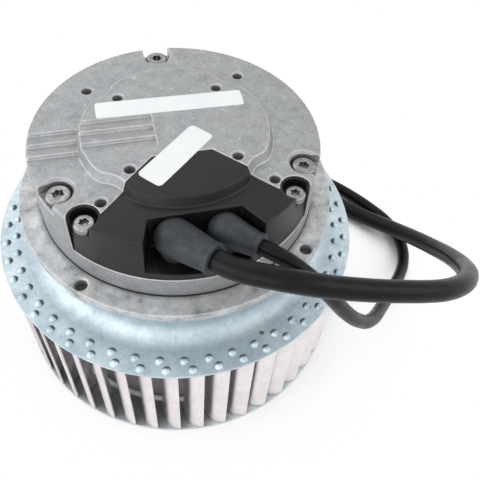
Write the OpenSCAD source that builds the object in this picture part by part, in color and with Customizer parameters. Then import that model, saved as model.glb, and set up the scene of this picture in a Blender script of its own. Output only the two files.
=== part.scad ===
// External-rotor centrifugal fan: a forward-curved impeller of galvanised sheet on an
// electronically commutated motor, with the electronics housing on top.
// Millimetres, +Z up, origin on the spin axis at the inlet face. The terminal cover faces -Y.

/* [Impeller] */
// Diameter of the back plate
impeller_d = 160; // [152:1:176]
// Height from the inlet face to the rim of the back plate
impeller_h = 59.4; // [54:0.1:70]
// Sheet thickness of the back plate and the inlet ring
plate_t = 1; // [0.7:0.1:1.4]
// Rim left outside the blade tips
tip_margin = 1.5; // [1:0.1:2.5]
// Radial depth of a blade from tip to heel
blade_depth = 9.7; // [8.5:0.1:11]
// Number of blades
blade_count = 47; // [37:1:51]
// Sheet thickness of a blade
blade_t = 0.8; // [0.5:0.1:1]
// Angle by which a blade tip leads its heel
blade_sweep = 5.75; // [4.5:0.05:6.5]
// Radius of a blade's curve
camber_r = 7.4; // [7:0.1:10]
// Angle of the first blade tip about the spin axis
blade_phase = 7.05; // [0:0.05:7.6]
// Fillet between the rim of the back plate and its collar
collar_fillet = 8; // [6:0.5:9]
// Rise of the collar above the rim of the back plate
collar_rise = 16.9; // [14:0.1:22]
// Outside radius of the bend at the top of the collar
collar_bend = 3; // [2:0.5:4]
// Diameter of the domes that stake the blades
stake_d = 3.7; // [3.2:0.1:4.4]
// Height of the domes
stake_h = 1.2; // [0.8:0.1:1.3]
// Distance from the rim to the outer row of domes
stake_inset = 2.8; // [2.6:0.1:3.2]
// Radial distance between the two rows of domes
stake_row = 4; // [3.6:0.1:4.4]
// Step from the blades' heels in to the inlet opening
inlet_step = 5.8; // [4.8:0.1:12]
// Radius of the rolled inlet lip
inlet_lip = 3; // [2:0.5:4]
// Diameter of the register hole in the back plate
register_d = 2; // [1.5:0.1:3]
// Distance from the rim to the register hole
register_inset = 9.9; // [9.5:0.1:10]
// Angle of the register hole about the spin axis
register_angle = -71.1; // [-180:0.1:180]

/* [Rotor] */
// Width of the rim flange round the rotor cup
rotor_rim_w = 11; // [9.8:0.1:12.6]
// Depth of the rotor cup below the back plate's disc
rotor_h = 55.3; // [52:0.1:60]
// Wall of the rotor cup
rotor_wall = 1.9; // [1.5:0.1:2.5]
// Floor of the rotor cup
rotor_floor = 3; // [2.5:0.1:4]
// Edge radius of the rotor cup's closed end
rotor_edge = 5; // [4:0.5:7]
// Thickness of the rotor cup's rim flange
rotor_rim_t = 1.8; // [1.2:0.1:2.4]
// Number of rivets through the rim flange
rivet_count = 6; // [4:1:10]
// Shank diameter of a rivet
rivet_d = 3; // [2.4:0.1:3.6]
// Thickness of a magnet
magnet_t = 3.1; // [2.5:0.1:3.6]
// Height of a magnet
magnet_h = 34; // [30:1:38]
// Number of magnets
magnet_count = 8; // [4:2:12]
// Air gap between magnets and stator
air_gap = 0.6; // [0.5:0.05:1]
// Shaft diameter
shaft_d = 8; // [7.5:0.1:8.5]
// Height of the hub that carries the lower bearing
hub_h = 10; // [8:0.5:12]

/* [Stator] */
// Height of the lamination stack
stack_h = 30; // [26:1:32]
// Height of the stack above the outside of the rotor cup's floor
stack_z = 14; // [12.5:0.5:16]
// Number of teeth
tooth_count = 12; // [9:3:12]
// Width of a tooth
tooth_w = 5; // [4:0.1:5.5]
// Outside diameter of the bearing tube
tube_d = 28; // [27:0.5:30]
// Outside diameter of a bearing
bearing_d = 22; // [21:0.5:23]
// Width of a bearing
bearing_w = 7; // [6:0.5:8]
// Running gap between the impeller and the motor flange
running_gap = 3; // [2.4:0.1:5]

/* [Flange] */
// Width of the motor flange outside the housing
flange_margin = 8.7; // [7.6:0.1:11]
// Thickness of the motor flange
flange_t = 3.7; // [3:0.1:6]
// Distance from the flange's rim to its tapped holes
flange_hole_inset = 3.3; // [3:0.1:4]
// Core diameter of the flange's tapped holes
flange_hole_d = 5; // [4:0.1:5.4]
// Radius of the boss under each tapped hole
lug_r = 4.8; // [4:0.1:5.5]
// Drop of the boss below the flange
lug_drop = 2; // [1:0.1:2.2]
// Metal left under each tapped hole
lug_floor = 1; // [0.6:0.1:2]

/* [Housing] */
// Diameter of the electronics housing
housing_d = 116; // [114:0.5:120]
// Height of the housing up to its deck
housing_h = 28.4; // [27:0.1:34]
// Side wall of the housing
housing_wall = 3.8; // [3:0.1:4.5]
// Thickness of the deck
deck_t = 4; // [3.5:0.1:5]
// Rounding of the deck's outer edge
deck_edge = 1.6; // [0.8:0.1:2.4]
// Width of the deck round the raised pad, from halfway up the pad's slope
deck_w = 20; // [19:0.1:21]
// Height of the pad above the deck
pad_h = 3.7; // [3:0.1:4.5]
// Width of the slope round the pad
pad_slope = 1.8; // [1:0.1:2.5]
// Radius of the bites in the pad round the deck holes
bite_r = 10; // [8.5:0.1:11]
// Rounding of the pad's corners beside the bites
pad_corner_r = 8; // [5:0.5:10]
// Distance from the housing's wall to the deck's tapped holes
deck_hole_inset = 12.74; // [12.4:0.02:13]
// Angle of the deck's tapped holes from the X axis
deck_hole_angle = 44.1; // [43.6:0.1:45]
// Offset of both patterns of tapped holes along Y
hole_shift = 0.5; // [0.4:0.1:1]
// Distance from the pad's edge to its tapped holes
pad_hole_inset = 9; // [8.8:0.1:10]
// Core diameter of the housing's tapped holes
tapped_d = 4.2; // [3.3:0.1:4.4]
// Depth of the housing's tapped holes
tapped_depth = 6.5; // [5:0.1:7]
// Pitch of the stepped grooves beside the pad
groove_pitch = 6.4; // [6:0.1:7]
// Depth of the stepped grooves
groove_depth = 1.1; // [0.4:0.1:1.4]
// Width of the slanted step between two grooves
groove_slant = 0.7; // [0.2:0.1:1]
// Place of the rearmost groove along Y
groove_y = 9.1; // [8:0.1:11]
// Distance from the axis to the grooves' inner ends
groove_end = 8.6; // [6:0.1:16]
// Thickness of the gasket under the housing
gasket_t = 0.8; // [0.5:0.1:1.5]
// Width of the gasket
gasket_w = 3; // [2:0.1:3.4]

/* [Screws] */
// Distance from the housing's wall to its three screws
housing_screw_inset = 5.7; // [5.3:0.1:6]
// Angle of the front housing screws from -Y
housing_screw_angle = 64.4; // [62:0.1:68]
// Angle by which the right-hand screw stands nearer to the cover
housing_screw_skew = 2.2; // [0:0.1:3]
// Thread diameter of the housing screws
housing_screw_d = 5; // [4:0.1:5.5]
// Head diameter of the housing screws
housing_head_d = 9.5; // [9:0.1:11]
// Head height of the housing screws
housing_head_h = 3; // [2.4:0.1:3.6]
// Depth of the housing screws' seats below the deck
housing_seat = 4.7; // [4:0.1:6]
// Distance from the housing's wall to the cover's screws
cover_screw_inset = 4.23; // [4.1:0.01:4.4]
// Angle of the cover's screws from the X axis
cover_screw_angle = 43.2; // [43:0.1:43.4]
// Thread diameter of the cover screws
cover_screw_d = 4; // [3:0.1:4.4]
// Head diameter of the cover screws
cover_head_d = 8; // [7:0.1:8.6]
// Head height of the cover screws
cover_head_h = 2.6; // [2:0.1:3]
// Depth of the cover screws' seats below the cover's deck
cover_seat = 5.1; // [4:0.1:6]

/* [Terminal cover] */
// Height of the sill that the cover stands on, above the housing's lower edge
sill_h = 9.7; // [8.5:0.1:11]
// Gap between the cover and the housing
cover_gap = 0.3; // [0.2:0.05:0.6]
// Drop of the cover's top below the housing's
cover_drop = 0.2; // [0:0.1:1]
// Wall of the cover
cover_wall = 2.2; // [1.6:0.1:2.6]
// Draft of the cover's outer wall over its height
cover_draft = 1.4; // [0.4:0.1:2]
// Distance from the axis to the cover's rear edge
apex_y = 15.2; // [14.5:0.1:16]
// Distance from the cover's screws to its slanted edges
slant_reach = 4.38; // [4.3:0.02:4.6]
// Distance from the cover's screws to its side walls
cover_side_margin = 5.3; // [4.8:0.1:6.2]
// Radius of the lobes round the cover screws
lobe_r = 5.8; // [5.6:0.1:5.9]
// Depth of the cable pocket from the housing's wall
pocket_depth = 16.5; // [16:0.1:17]
// Half width of the cable pocket at its back
pocket_half = 17.3; // [17.2:0.1:18]
// Widening of the pocket's -X side towards the outer wall
pocket_flare_a = 4.8; // [3:0.1:6]
// Widening of the pocket's +X side towards the outer wall
pocket_flare_b = 11; // [10.8:0.1:12]
// Thickness of the pocket's floor
pocket_floor = 2.5; // [2:0.1:3]

/* [Cables] */
// Diameter of the supply cable
supply_d = 8.6; // [8:0.1:9]
// Diameter of the control cable
control_d = 6.3; // [6:0.1:7]
// Radius of the supply boot at its elbow
supply_boot_r = 7.6; // [7:0.1:7.8]
// Radius of the control boot at its elbow
control_boot_r = 6.8; // [6.4:0.1:7]
// Wall of a boot round its cable
boot_wall = 1.5; // [1:0.1:2]
// Radius of a boot's neck through the pocket's floor
neck_r = 5.4; // [5:0.1:5.6]
// Height of the boots' elbows above the pocket's floor
boot_lift = 8.3; // [8:0.1:8.6]
// Place of the supply boot along -X
supply_boot_x = 8.5; // [8:0.1:9.2]
// Length of the supply boot from its elbow
supply_boot_l = 19; // [17:0.1:20]
// Direction of the supply boot in plan
supply_boot_angle = -50; // [-54:1:-48]
// Rise of the supply boot
supply_rise_angle = 8; // [4:1:10]
// Place of the control boot along X
control_boot_x = 10.5; // [10:0.1:10.6]
// Length of the control boot from its elbow
control_boot_l = 15; // [14:0.1:16]
// Direction of the control boot in plan
control_boot_angle = -44; // [-48:1:-44]
// Rise of the control boot
control_rise_angle = 2; // [0:1:5]
// Distance from the housing's wall to the boots' elbows
boot_inset = 12.4; // [12:0.1:12.8]
// Length of the lip at a boot's mouth
boot_lip_l = 1.6; // [1:0.1:2.4]
// Height of the lip at a boot's mouth
boot_lip_h = 0.35; // [0.2:0.05:0.6]

/* [Hidden] */
$fn = 96;
eps = 0.01;
seat_gap = 0.1;
press_gap = 0.02;

impeller_r = impeller_d / 2;
tip_r = impeller_r - tip_margin;
heel_r = tip_r - blade_depth;
collar_r = heel_r - collar_fillet;
inlet_r = heel_r - inlet_step;
rim_r = collar_r - collar_bend - seat_gap;
rotor_r = rim_r - rotor_rim_w;
cup_r = rotor_r - rotor_wall;
magnet_r = cup_r - seat_gap - magnet_t;
stator_r = magnet_r - air_gap;
tube_r = tube_d / 2;
bearing_r = bearing_d / 2;
shaft_r = shaft_d / 2;
housing_r = housing_d / 2;
cavity_r = housing_r - housing_wall;
flange_r = housing_r + flange_margin;
flange_hole_r = flange_r - flange_hole_inset;
pad_r = housing_r - deck_w;

// Places that follow the housing's wall
deck_hole = polar(housing_r - deck_hole_inset, deck_hole_angle);
pad_hole = polar(pad_r - pad_hole_inset, 45);
cover_screw = polar(housing_r - cover_screw_inset, cover_screw_angle);
cover_side = cover_screw.x + cover_side_margin;
slant_set = cover_screw.y - cover_screw.x + slant_reach * sqrt(2);
pocket_y = housing_r - pocket_depth;
boot_y = housing_r - boot_inset;

// Heights, from the inlet face up
disc_z = impeller_h + collar_rise;
cup_z = disc_z - plate_t - rotor_h;
flange_z = disc_z + running_gap;
flange_top = flange_z + flange_t;
housing_z = flange_top + gasket_t;
deck_z = housing_z + housing_h;
pad_z = deck_z + pad_h;
ceiling_z = deck_z - deck_t;
sill_z = housing_z + sill_h;
cover_deck_z = deck_z - cover_drop;
cover_pad_z = pad_z - cover_drop;
pocket_z = sill_z + pocket_floor;
stack_bottom = cup_z + stack_z;
stack_top = stack_bottom + stack_h;
lower_bearing_z = cup_z + hub_h;
upper_bearing_z = flange_z - seat_gap - bearing_w;

// Depth to which the domes run into the plate, and what their flat tops lack
stake_root = plate_t / 3;
stake_flat = 0.02;

// Bearings: rings and balls
race_t = bearing_w * 0.22;
inner_race_r = shaft_r + press_gap + race_t;
outer_race_r = bearing_r - race_t;
ball_r = (outer_race_r - inner_race_r) / 2 - 0.04;
ball_circle = (outer_race_r + inner_race_r) / 2;
ball_count = 7;
shield_t = 0.5;
shield_gap = 0.3;
spring_h = 0.9;
spring_t = 0.5;
spring_clear = 0.3;
shoulder_r = bearing_r - 1.6;
stack_shoulder = 3;
circlip_t = 1;
circlip_w = 1.6;
circlip_mouth = 2.4;
hub_foot_share = 2;
hub_step = 2;
groove_fit = 0.05;
circlip_groove = 0.6;
shaft_tail = 2;

// Coils and phase pins
slot_gap = 0.3;
yoke_t = 7;
shoe_t = 2.4;
shoe_share = 0.8;
coil_end = 4.5;
coil_inner_r = tube_r + seat_gap + yoke_t + slot_gap;
coil_outer_r = stator_r - shoe_t - slot_gap;
coil_share = 0.9;
pin_d = 1.4;
pin_count = 3;
pin_hole_d = 4;
pin_r = (coil_inner_r + coil_outer_r) / 2;

// Rivets between the back plate's disc and the rotor's rim flange
disc_bore_r = rotor_r - rotor_wall;
rivet_circle = (rotor_r + rim_r) / 2;
rivet_head_share = 0.85;
rivet_crown_share = 0.6;
rivet_head_r = rivet_d * rivet_head_share;
rivet_crown_r = rivet_head_r * rivet_crown_share;
rivet_head_h = rivet_d * 0.35;

// Circuit board and what stands on it
board_lift = 4.2;
board_margin = 4;
board_z = housing_z + board_lift;
board_t = 1.6;
board_r = cavity_r - board_margin;
board_top = board_z + board_t;
boss_gap = 0.5;
post_circle = 38;
post_angles = [90, 210, 330];
post_d = 6;
post_hole = 7;
board_screw_d = 3;
board_head_h = 2;
capacitor_d = 16;
capacitor_x = 11;
capacitor_y = 14;
headroom = 1;
choke_r = 7.5;
choke_wire = 3.2;
choke_place = [24, -6];
terminal_size = [30, 7.5, 11];
terminal_gap = 0.7;
terminal_poles = 6;
pole_share = 0.7;
pole_depth = 4;
wire_h = 4;
wire_z = 2;

// Motor flange
flange_holes = 4;

// Bosses under the housing's screws and tapped holes
screw_clear = 0.2;
screw_slot = 0.9;
housing_slot_r = housing_head_d / 2 + screw_slot;
housing_boss_wall = 3.4;
housing_boss_r = housing_screw_d / 2 + housing_boss_wall;
cover_slot = 1.3;
cover_slot_r = cover_head_d / 2 + cover_slot;
cover_boss_wall = 2.6;
cover_boss_r = cover_screw_d / 2 + cover_boss_wall;
deck_boss_wall = 2;
deck_boss_r = tapped_d / 2 + deck_boss_wall;
chamfer = 0.5;
slot_bevel = 1;
housing_screw_r = housing_r - housing_screw_inset;
housing_screw_dirs = [-90 - housing_screw_angle, -90 + housing_screw_angle - housing_screw_skew, 90];
cover_reach = 7.5;
boss_rise = 0.4;
pad_root = 1;

// Torx drive of a screw, as shares of its head
drive_share = 0.27;
lobe_share = 0.1;
drive_depth = 0.6;

// Boots
boot_z = pocket_z + boot_lift;
boot_clear = 0.4;
boot_flat = 0.05;
boot_flange = 1.2;
boot_flange_t = 1.3;
boot_wall_min = 1.4;
supply_elbow = [-supply_boot_x, -boot_y, boot_z];
control_elbow = [control_boot_x, -boot_y, boot_z];
boots = [[supply_elbow, supply_boot_r], [control_elbow, control_boot_r]];
terminal_y = terminal_gap + supply_boot_r + boot_clear + boot_wall_min - boot_y;
supply_axis = heading(supply_boot_angle, supply_rise_angle);
control_axis = heading(control_boot_angle, control_rise_angle);
supply_exit = supply_elbow + supply_boot_l * supply_axis;
control_exit = control_elbow + control_boot_l * control_axis;

// Routes of the free cables, from the boots over the rim and round behind the impeller
lead_out = 4;
supply_route = concat(
    [supply_exit, supply_exit + lead_out * supply_axis],
    [[12.5, -68.8, 109.4], [20, -73, 110.3], [27, -75.8, 109.9], [34.5, -77.7, 108.3],
     [42.5, -78.8, 105.9], [51, -79.7, 103.5], [59.5, -80.4, 101.2], [68, -80.8, 98.9],
     [77, -80.7, 96], [87.5, -79.5, 92], [99, -75, 85.5], [110.5, -66, 75], [120.5, -53.5, 61],
     [127.5, -38, 46], [130.5, -22, 32], [129.5, -6, 20.5], [125, 9, 11.5], [117, 22, 6.5],
     [107, 34, 4.5], [95, 48, 4.4], [81, 62, 4.4], [64, 74, 4.4], [45, 83, 4.4], [24, 89, 4.4],
     [2, 91, 4.4], [-18, 90, 4.4], [-36, 86, 4.4]]);
control_route = concat(
    [control_exit, control_exit + lead_out * control_axis],
    [[29.5, -63.1, 103.7], [35.6, -67.7, 100], [41.3, -70.6, 94.3], [46.2, -71.4, 87.1],
     [50.6, -71.2, 79.6], [55.2, -70.6, 72], [60, -69.6, 64.6], [65.2, -68, 57.4],
     [71.5, -65.3, 49.6], [79, -60, 41.5], [88, -51.5, 32.5], [98, -41.5, 23.5], [108, -31, 15.5],
     [117.5, -21.2, 9], [125.2, -11, 5.1], [129.8, 0, 3.6], [130.6, 11, 3.3],
     [127.8, 22, 3.3], [122, 33, 3.3], [115, 43.5, 3.3], [106.5, 54, 3.3], [96, 64.5, 3.3],
     [83.5, 75, 3.3], [68, 85.5, 3.3], [50, 94, 3.3], [30, 100, 3.3], [9, 103, 3.3],
     [-12, 103, 3.3], [-32, 100, 3.3]]);
cord_sides = 10;

// Stripped cable ends
supply_cores = 3;
supply_core_d = 2.6;
control_cores = 4;
control_core_d = 1.9;
core_l = 24;
ferrule_l = 8;
ferrule_share = 0.7;
core_spread = 0.53;

function heading(turn, rise) = [cos(turn) * cos(rise), sin(turn) * cos(rise), sin(rise)];
function polar(r, a) = [r * cos(a), r * sin(a)];

// Centre of the circle that a blade's curve follows
heel_point = polar(heel_r, -blade_sweep);
tip_point = polar(tip_r, 0);
chord = tip_point - heel_point;
camber_rise = sqrt(camber_r ^ 2 - (norm(chord) / 2) ^ 2);
camber_centre = (tip_point + heel_point) / 2 + camber_rise * [-chord.y, chord.x] / norm(chord);
camber_far = norm(camber_centre);
camber_turn = atan2(camber_centre.y, camber_centre.x);

// Angle at which a blade's curve crosses a circle about the spin axis
function camber_angle(r) =
    camber_turn - acos((r ^ 2 + camber_far ^ 2 - camber_r ^ 2) / (2 * r * camber_far));

module around(count, start = 0) {
    for (i = [0:count - 1]) rotate(start + i * 360 / count) children();
}

module tube(outer_r, inner_r, h) {
    difference() {
        cylinder(r = outer_r, h = h);
        translate([0, 0, -eps]) cylinder(r = inner_r, h = h + 2 * eps);
    }
}

// Quarter of a ring in one quadrant of the profile plane
module quarter_ring(outer_r, inner_r, quadrant) {
    rotate(90 * quadrant) intersection() {
        difference() {
            circle(r = outer_r);
            circle(r = inner_r);
        }
        square(outer_r + 1);
    }
}

// Tapped hole with a countersink, cut downwards from z = 0
module tapped(d, depth) {
    translate([0, 0, -depth]) cylinder(d = d, h = depth + 1);
    translate([0, 0, -chamfer]) cylinder(d1 = d, d2 = d + 2 * chamfer + 2 * eps, h = chamfer + eps);
}

// Six-lobed drive screw hanging from its seat at z = 0
module lobed_screw(d, head_d, head_h, length) {
    difference() {
        union() {
            translate([0, 0, -length]) cylinder(d = d, h = length + eps);
            rotate_extrude() difference() {
                square([head_d / 2, head_h]);
                translate([head_d / 2 - head_h / 3, head_h * 2 / 3]) difference() {
                    square(head_h);
                    circle(r = head_h / 3);
                }
            }
        }
        translate([0, 0, head_h * (1 - drive_depth)]) linear_extrude(head_h) {
            circle(d = head_d * drive_share * 1.5);
            around(6) translate([head_d * drive_share * 0.75, 0])
                circle(d = head_d * lobe_share, $fn = 24);
        }
    }
}

module at_housing_screws() {
    for (a = housing_screw_dirs) rotate(a) translate([housing_screw_r, 0, 0]) children();
}

module at_cover_screws() {
    for (s = [-1, 1]) translate([s * cover_screw.x, -cover_screw.y, 0]) children();
}

module at_deck_holes() {
    for (x = [-1, 1], y = [-1, 1])
        translate([x * deck_hole.x, y * deck_hole.y + hole_shift, 0]) children();
}

module at_pad_holes() {
    for (x = [-1, 1], y = [-1, 1])
        translate([x * pad_hole.x, y * pad_hole.y + hole_shift, 0]) children();
}

module at_posts() {
    for (a = post_angles) rotate(a) translate([post_circle, 0, 0]) children();
}

// Sweep of a round tube along a list of points
function tangent(p, i) = let (n = len(p) - 1, d = p[min(i + 1, n)] - p[max(i - 1, 0)]) d / norm(d);
function side(t) = let (s = cross([0, 0, 1], t)) s / norm(s);
function ring(p, t, r, sides) = let (u = side(t), v = cross(t, u))
    [for (k = [0:sides - 1]) let (a = 360 * k / sides) p + r * (cos(a) * u + sin(a) * v)];

module swept_tube(path, r, sides = cord_sides) {
    last = len(path) - 1;
    points = [for (i = [0:last]) let (t = i == 0 ? path[1] - path[0] : tangent(path, i))
        each ring(path[i], t / norm(t), r, sides)];
    walls = [for (i = [0:last - 1], k = [0:sides - 1]) let (n = (k + 1) % sides)
        [i * sides + n, i * sides + k, (i + 1) * sides + k, (i + 1) * sides + n]];
    start = [for (k = [0:sides - 1]) k];
    finish = [for (k = [sides - 1:-1:0]) last * sides + k];
    polyhedron(points, concat([start], walls, [finish]), convexity = 10);
}

// Puts a child that points along +Z at a place and direction
module along(place, axis) {
    translate(place) rotate([0, acos(axis.z), atan2(axis.y, axis.x)]) children();
}

module impeller_back_plate() {
    color("lightsteelblue") {
        difference() {
            rotate_extrude($fn = 180) {
                translate([heel_r, impeller_h - plate_t]) square([impeller_r - heel_r, plate_t]);
                translate([heel_r, impeller_h + collar_fillet])
                    quarter_ring(collar_fillet + plate_t, collar_fillet, 2);
                translate([collar_r - plate_t, impeller_h + collar_fillet])
                    square([plate_t, collar_rise - collar_fillet - collar_bend]);
                translate([collar_r - collar_bend, disc_z - collar_bend])
                    quarter_ring(collar_bend, collar_bend - plate_t, 0);
                translate([disc_bore_r, disc_z - plate_t])
                    square([collar_r - collar_bend - disc_bore_r, plate_t]);
            }
            around(rivet_count) translate([rivet_circle, 0, disc_z - plate_t - eps])
                cylinder(d = rivet_d + 2 * press_gap, h = plate_t + 2 * eps, $fn = 32);
            rotate(register_angle) translate([impeller_r - register_inset, 0, impeller_h - plate_t - eps])
                cylinder(d = register_d, h = plate_t + 2 * eps, $fn = 32);
        }
        for (r = [impeller_r - stake_inset, impeller_r - stake_inset - stake_row])
            around(blade_count, blade_phase + camber_angle(r)) translate([r, 0, impeller_h])
                stake();
    }
}

// Dome pressed up over the end of a blade
module stake() {
    dome_r = (stake_d ^ 2 / 4 + stake_h ^ 2) / (2 * stake_h);
    rotate_extrude($fn = 32) intersection() {
        translate([0, stake_h - dome_r]) circle(r = dome_r);
        translate([0, -stake_root]) square([stake_d, stake_root + stake_h - stake_flat]);
    }
}

module blade() {
    reach = 3;
    translate(camber_centre) intersection() {
        difference() {
            circle(r = camber_r + blade_t / 2);
            circle(r = camber_r - blade_t / 2);
        }
        polygon([[0, 0], reach * (heel_point - camber_centre), reach * (tip_point - camber_centre)]);
    }
}

module impeller_blades() {
    color("silver") around(blade_count, blade_phase) translate([0, 0, plate_t])
        linear_extrude(impeller_h - 2 * plate_t) blade();
}

module inlet_ring() {
    color("lightsteelblue") rotate_extrude($fn = 180) {
        ring_r = inlet_r + inlet_lip;
        translate([ring_r, 0]) square([impeller_r - plate_t - ring_r, plate_t]);
        translate([ring_r, inlet_lip]) quarter_ring(inlet_lip, inlet_lip - plate_t, 2);
    }
}

module impeller_rivets() {
    grip = plate_t + rotor_rim_t;
    color("gainsboro") around(rivet_count) translate([rivet_circle, 0, disc_z - grip]) {
        translate([0, 0, -eps]) cylinder(d = rivet_d, h = grip + 2 * eps, $fn = 32);
        translate([0, 0, grip]) cylinder(r1 = rivet_head_r, r2 = rivet_crown_r, h = rivet_head_h, $fn = 32);
        translate([0, 0, -rivet_head_h])
            cylinder(r1 = rivet_crown_r, r2 = rivet_head_r, h = rivet_head_h, $fn = 32);
    }
}

module rotor_cup() {
    rim_z = disc_z - plate_t - rotor_rim_t;
    color("slategray") difference() {
        rotate_extrude() difference() {
            union() {
                translate([0, cup_z]) square([rotor_r - rotor_edge, rotor_h]);
                translate([rotor_r - rotor_edge - eps, cup_z + rotor_edge])
                    square([rotor_edge + eps, rotor_h - rotor_edge]);
                translate([rotor_r - rotor_edge, cup_z + rotor_edge]) circle(r = rotor_edge);
                translate([0, rim_z]) square([rim_r, rotor_rim_t]);
            }
            difference() {
                translate([0, cup_z + rotor_floor]) square([cup_r, rotor_h]);
                square([inner_race_r, lower_bearing_z]);
                translate([0, cup_z]) square([inner_race_r * hub_foot_share, hub_h - hub_step]);
            }
        }
        translate([0, 0, cup_z - eps]) cylinder(r = shaft_r + press_gap, h = hub_h + 2 * eps);
        around(rivet_count) translate([rivet_circle, 0, rim_z - eps])
            cylinder(d = rivet_d + 2 * press_gap, h = rotor_rim_t + 2 * eps, $fn = 32);
    }
}

module rotor_magnets() {
    pitch = 360 / magnet_count;
    far = 2 * cup_r;
    color("dimgray") around(magnet_count)
        translate([0, 0, stack_bottom + (stack_h - magnet_h) / 2])
        linear_extrude(magnet_h) intersection() {
            difference() {
                circle(r = cup_r - seat_gap);
                circle(r = magnet_r);
            }
            polygon([[0, 0], polar(far, 1), polar(far, pitch / 2), polar(far, pitch - 1)]);
        }
}

module motor_shaft() {
    top = upper_bearing_z + bearing_w + circlip_t + shaft_tail;
    color("lightgray") difference() {
        translate([0, 0, cup_z]) cylinder(r = shaft_r, h = top - cup_z);
        translate([0, 0, upper_bearing_z + bearing_w])
            tube(shaft_r + 1, shaft_r - circlip_groove, circlip_t + 2 * groove_fit);
    }
}

module shaft_circlip() {
    color("black") translate([0, 0, upper_bearing_z + bearing_w + groove_fit]) difference() {
        tube(shaft_r + circlip_w, shaft_r - circlip_groove + groove_fit, circlip_t);
        translate([0, -circlip_mouth / 2, -circlip_t])
            cube([shaft_r + 2 * circlip_w, circlip_mouth, 3 * circlip_t]);
    }
}

module at_bearings() {
    for (z = [lower_bearing_z, upper_bearing_z]) translate([0, 0, z]) children();
}

module bearing_inner_rings() {
    color("lightgray") at_bearings() tube(inner_race_r, shaft_r + press_gap, bearing_w);
}

module bearing_outer_rings() {
    color("silver") at_bearings() {
        tube(bearing_r - press_gap, outer_race_r, bearing_w);
        for (z = [0, bearing_w - shield_t]) translate([0, 0, z])
            tube(outer_race_r + eps, inner_race_r + shield_gap, shield_t);
    }
}

module bearing_balls() {
    color("whitesmoke") at_bearings() around(ball_count)
        translate([ball_circle, 0, bearing_w / 2]) sphere(r = ball_r, $fn = 32);
}

module bearing_spring() {
    low = lower_bearing_z + bearing_w;
    color("darkgray") rotate_extrude() polygon([
        [shoulder_r + spring_clear, low + spring_h - spring_t], [shoulder_r + spring_clear, low + spring_h],
        [bearing_r - spring_clear, low + spring_t], [bearing_r - spring_clear, low]]);
}

module stator_core() {
    pitch = 360 / tooth_count;
    far = 2 * stator_r;
    color("gray") translate([0, 0, stack_bottom]) linear_extrude(stack_h) {
        difference() {
            union() {
                circle(r = tube_r + seat_gap + yoke_t);
                around(tooth_count) translate([0, -tooth_w / 2]) square([stator_r - shoe_t / 2, tooth_w]);
            }
            circle(r = tube_r + seat_gap);
        }
        around(tooth_count) intersection() {
            difference() {
                circle(r = stator_r);
                circle(r = stator_r - shoe_t);
            }
            polygon([[0, 0], polar(far, -pitch / 2 * shoe_share), polar(far, pitch / 2 * shoe_share)]);
        }
    }
}

module stator_windings() {
    half = 180 / tooth_count * coil_share;
    back_r = coil_inner_r / cos(half);
    slot = tooth_w + 2 * slot_gap;
    color("peru") around(tooth_count) difference() {
        translate([0, 0, stack_bottom - coil_end]) linear_extrude(stack_h + 2 * coil_end)
            polygon([polar(back_r, half), polar(coil_outer_r, half), polar(coil_outer_r, -half),
                polar(back_r, -half)]);
        translate([0, -slot / 2, stack_bottom - slot_gap]) cube([stator_r, slot, stack_h + 2 * slot_gap]);
    }
}

module at_phase_pins() {
    around(pin_count) translate([pin_r, 0, 0]) children();
}

module phase_pins() {
    low = stack_top + coil_end;
    color("goldenrod") at_phase_pins() translate([0, 0, low])
        cylinder(d = pin_d, h = board_z - low, $fn = 24);
}

module motor_flange() {
    spring_seat = lower_bearing_z + bearing_w + spring_h;
    tube_end = lower_bearing_z - 1;
    color("darkgray") difference() {
        union() {
            translate([0, 0, flange_z]) cylinder(r = flange_r, h = flange_t);
            intersection() {
                around(flange_holes, 45) translate([flange_hole_r, 0, flange_z - lug_drop])
                    cylinder(r = lug_r, h = lug_drop + flange_t / 2);
                translate([0, 0, flange_z - lug_drop - 1]) cylinder(r = flange_r, h = lug_drop + flange_t);
            }
            translate([0, 0, stack_top])
                cylinder(r = tube_r + stack_shoulder, h = flange_z - stack_top + eps);
            translate([0, 0, tube_end]) cylinder(r = tube_r, h = flange_z - tube_end);
        }
        translate([0, 0, tube_end - eps]) cylinder(r = bearing_r, h = spring_seat - tube_end + eps);
        translate([0, 0, spring_seat - eps]) cylinder(r = shoulder_r, h = flange_top - spring_seat);
        translate([0, 0, upper_bearing_z]) cylinder(r = bearing_r, h = flange_top - upper_bearing_z + 1);
        around(flange_holes, 45) translate([flange_hole_r, 0, flange_top])
            tapped(flange_hole_d, flange_t + lug_drop - lug_floor);
        at_housing_screws() translate([0, 0, flange_z - 1])
            cylinder(d = housing_screw_d + 2 * seat_gap, h = flange_t + 2);
        at_phase_pins() translate([0, 0, flange_z - 1]) cylinder(d = pin_hole_d, h = flange_t + 2);
    }
}

module housing_gasket() {
    color("black") translate([0, 0, flange_top]) difference() {
        tube(housing_r + 0.2, housing_r - gasket_w, gasket_t);
        at_housing_screws() translate([0, 0, -1])
            cylinder(d = housing_screw_d + 2 * screw_clear, h = gasket_t + 2);
    }
}

// Plan of the terminal cover, grown outwards by g
module cover_plan(g) {
    slant = slant_set - g * sqrt(2);
    rear = apex_y - g;
    right = [[rear - slant, -rear], [cover_screw.y - slant, -cover_screw.y],
        [cover_side + g, -cover_screw.y], [cover_side + g, -housing_r - 2]];
    left = [for (i = [len(right) - 1:-1:0]) [-right[i].x, right[i].y]];
    polygon(concat(right, left));
    at_cover_screws() circle(r = lobe_r + g);
}

// Sloped disc of the pad's height, which runs pad_root down into the deck
module pad_cone(r) {
    translate([0, 0, -pad_root]) cylinder(r1 = r + pad_slope / 2 + pad_slope * pad_root / pad_h,
        r2 = r - pad_slope / 2, h = pad_h + pad_root);
}

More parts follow.
